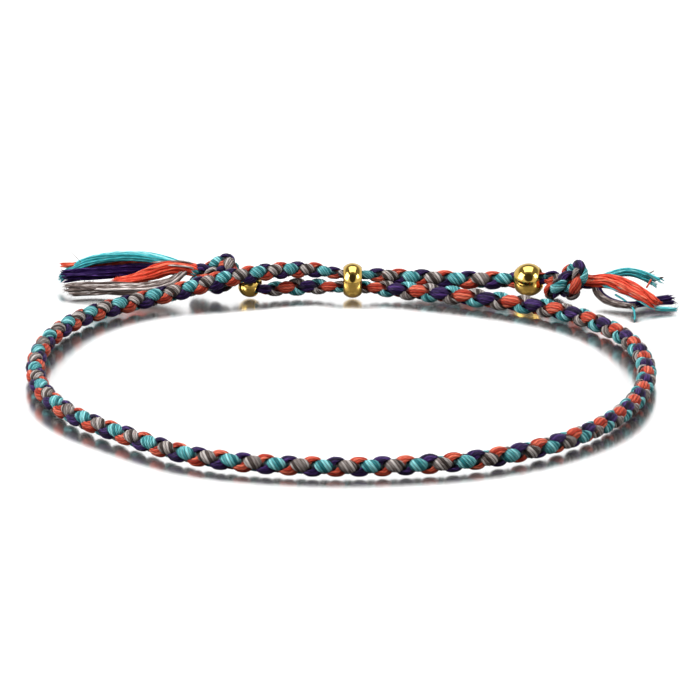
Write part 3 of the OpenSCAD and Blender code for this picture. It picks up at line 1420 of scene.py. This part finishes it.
@dataclass(frozen=True)
class Softbox:
    """A square soft light: place, aim and side in millimetres, power in watts."""

    name: str
    place: Point
    aim: Point
    size: float
    power: float

    def build(self) -> None:
        """Adds the light, turned towards its aim."""
        data = bpy.data.lights.new(self.name, "AREA")
        data.shape, data.size, data.energy = "SQUARE", self.size * MM, self.power
        lamp = show(bpy.data.objects.new(self.name, data))
        lamp.location = [c * MM for c in self.place]
        direction = Vector([(a - p) * MM for a, p in zip(self.aim, self.place, strict=True)])
        lamp.rotation_euler = direction.to_track_quat("-Z", "Y").to_euler()


@dataclass(frozen=True)
class Floor:
    """A polished pale floor that mirrors only what stands close to it, in millimetres."""

    drop: float = 0.17
    half: float = 1500.0
    # What the camera sees of it, and the dark grey that reflected rays see, a painted darkness in the gold's
    # reflection of the floor
    colour: Colour = (0.93, 0.93, 0.93)
    dark_in_reflections: Colour = (0.3, 0.28, 0.26)
    polish: Colour = (0.95, 0.95, 0.95)
    roughness: float = 0.22
    # How far off the part still counts, and the openness at which the mirror starts and is full
    reach: float = 4.0
    openness: Span = (0.93, 0.86)
    # Share of the mirror that is left on the open floor
    open_share: float = 0.2
    # How edge-on the floor is seen, and how strongly it mirrors there
    edge_on: Span = (0.35, 0.66)
    mirror: Span = (0.1, 0.97)

    def material(self) -> Material:
        """The floor's finish.

        Returns:
            The material.
        """
        made, s = Sketch.material("pale_floor")
        ray = s.add("ShaderNodeLightPath").outputs
        bounced = ray["Is Diffuse Ray"]
        # Painted reflection: reflected rays find the floor dark grey, so the gold mirrors a darker floor
        # than the one the camera sees
        seen = s.blend(ray["Is Glossy Ray"], self.colour, self.dark_in_reflections)
        matt = s.add("ShaderNodeBsdfDiffuse", {"Color": s.blend(bounced, seen, BOUNCE)})
        polish = {"Color": (*self.polish, 1), "Roughness": self.roughness}
        gloss = s.add("ShaderNodeBsdfGlossy", polish)
        around = {"Distance": self.reach * MM}
        air = s.add("ShaderNodeAmbientOcclusion", around, samples=16, only_local=False)
        near = s.ranged(air.outputs["AO"], self.openness)
        facing = s.add("ShaderNodeLayerWeight", {"Blend": 0.5}).outputs["Facing"]
        grazing = s.ranged(facing, self.edge_on, self.mirror)
        sheen = s.times(grazing, s.plus(s.times(near, 1 - self.open_share), self.open_share))
        sheen = s.times(sheen, s.maths("SUBTRACT", 1.0, bounced))
        shaders = {0: sheen, 1: matt.outputs[0], 2: gloss.outputs[0]}
        s.surface(s.add("ShaderNodeMixShader", shaders))
        return made

    def build(self) -> None:
        """Adds the floor as one sheet."""
        h, z = self.half * MM, -self.drop * MM
        mesh = bpy.data.meshes.new("floor")
        mesh.from_pydata([(-h, -h, z), (h, -h, z), (h, h, z), (-h, h, z)], [], [(0, 1, 2, 3)])
        mesh.materials.append(self.material())
        floor = show(bpy.data.objects.new("floor", mesh))


@dataclass(frozen=True)
class Room:
    """A white room, greyer overhead and dark in a cone on the camera's side."""

    wall: Colour = (1.15, 1.15, 1.15)
    ceiling: Colour = (0.26, 0.25, 0.23)
    dark: Colour = (0.06, 0.055, 0.05)
    # Heights between which the wall turns into the ceiling
    heights: Span = (0.42, 0.66)
    dark_way: Point = (0.0, -0.85, 0.53)
    dark_edge: Span = (0.82, 0.91)

    def build(self) -> None:
        """Makes the room the scene's world."""
        world = bpy.data.worlds.new("studio")
        bpy.context.scene.world = world
        world.use_nodes = True
        s = Sketch(world.node_tree)
        way = s.add("ShaderNodeTexCoord").outputs["Generated"]
        inputs = {0: way, 1: self.dark_way}
        toward = s.add("ShaderNodeVectorMath", inputs, operation="DOT_PRODUCT").outputs["Value"]
        height = s.add("ShaderNodeSeparateXYZ", {0: way}).outputs["Z"]
        lit = s.blend(s.ranged(height, self.heights), self.wall, self.ceiling)
        seen = s.blend(s.ranged(toward, self.dark_edge), lit, self.dark)
        bounced = s.add("ShaderNodeLightPath").outputs["Is Diffuse Ray"]
        colour = s.blend(bounced, seen, BOUNCE)
        back = s.add("ShaderNodeBackground", {"Color": colour, "Strength": 1.0})
        s.add("ShaderNodeOutputWorld", {"Surface": back.outputs[0]})


@dataclass(frozen=True)
class Camera:
    """The camera of the photograph, in millimetres and degrees."""

    place: Point = (-0.81, -899.7, 296.0)
    pitch: float = 72.0
    lens: float = 415.3
    sensor: float = 36.0
    clip: Span = (10.0, 20000.0)

    def build(self) -> None:
        """Adds the camera and sets how its picture is shown."""
        data = bpy.data.cameras.new("camera")
        data.lens, data.sensor_width = self.lens, self.sensor
        data.clip_start, data.clip_end = (c * MM for c in self.clip)
        view = show(bpy.data.objects.new("camera", data))
        view.location = [c * MM for c in self.place]
        view.rotation_euler = (math.radians(self.pitch), 0, 0)
        bpy.context.scene.camera = view
        bpy.context.scene.view_settings.view_transform = "Standard"


BRACELET = (
    BraidedCord(),
    OverhandKnot("right_knot", (25.5, 31.4, 2.4), (205, 0, -18), 0.125, 45),
    OverhandKnot("left_knot", (-17.2, 33.3, 2.6), (205, -10, 0), 0, 90),
    RIGHT_TASSEL,
    LEFT_TASSEL,
    SlidingBead("slider_bead_polished", "slider_bead", (-0.5, 32, 2.125)),
    RoundBead("right_ball_polished", "right_ball_bead", (20.8, 32.7, 2), 8, -11),
    RoundBead(
        "left_ball_polished", "left_ball_bead", (-12.9, 32.2, 1.5), 17, 160, diameter=3.0, bore=1.85
    ),
)

STUDIO = (
    Floor(),
    Room(),
    Softbox("key", (-500, -200, 320), (0, 0, 0), 440, 4.5),
    Softbox("fill", (470, -210, 330), (0, 0, 0), 240, 1.6),
    Softbox("top", (0, 130, 620), (0, 10, 0), 560, 3.6),
    Camera(),
)


def main() -> None:
    """Builds the bracelet's pieces and the studio in order."""
    logging.basicConfig(level=logging.INFO, format="%(message)s")
    palette = Palette.mixed()
    for part in BRACELET:
        part.build(palette)
    for fitting in STUDIO:
        fitting.build()


if __name__ == "__main__":
    main()
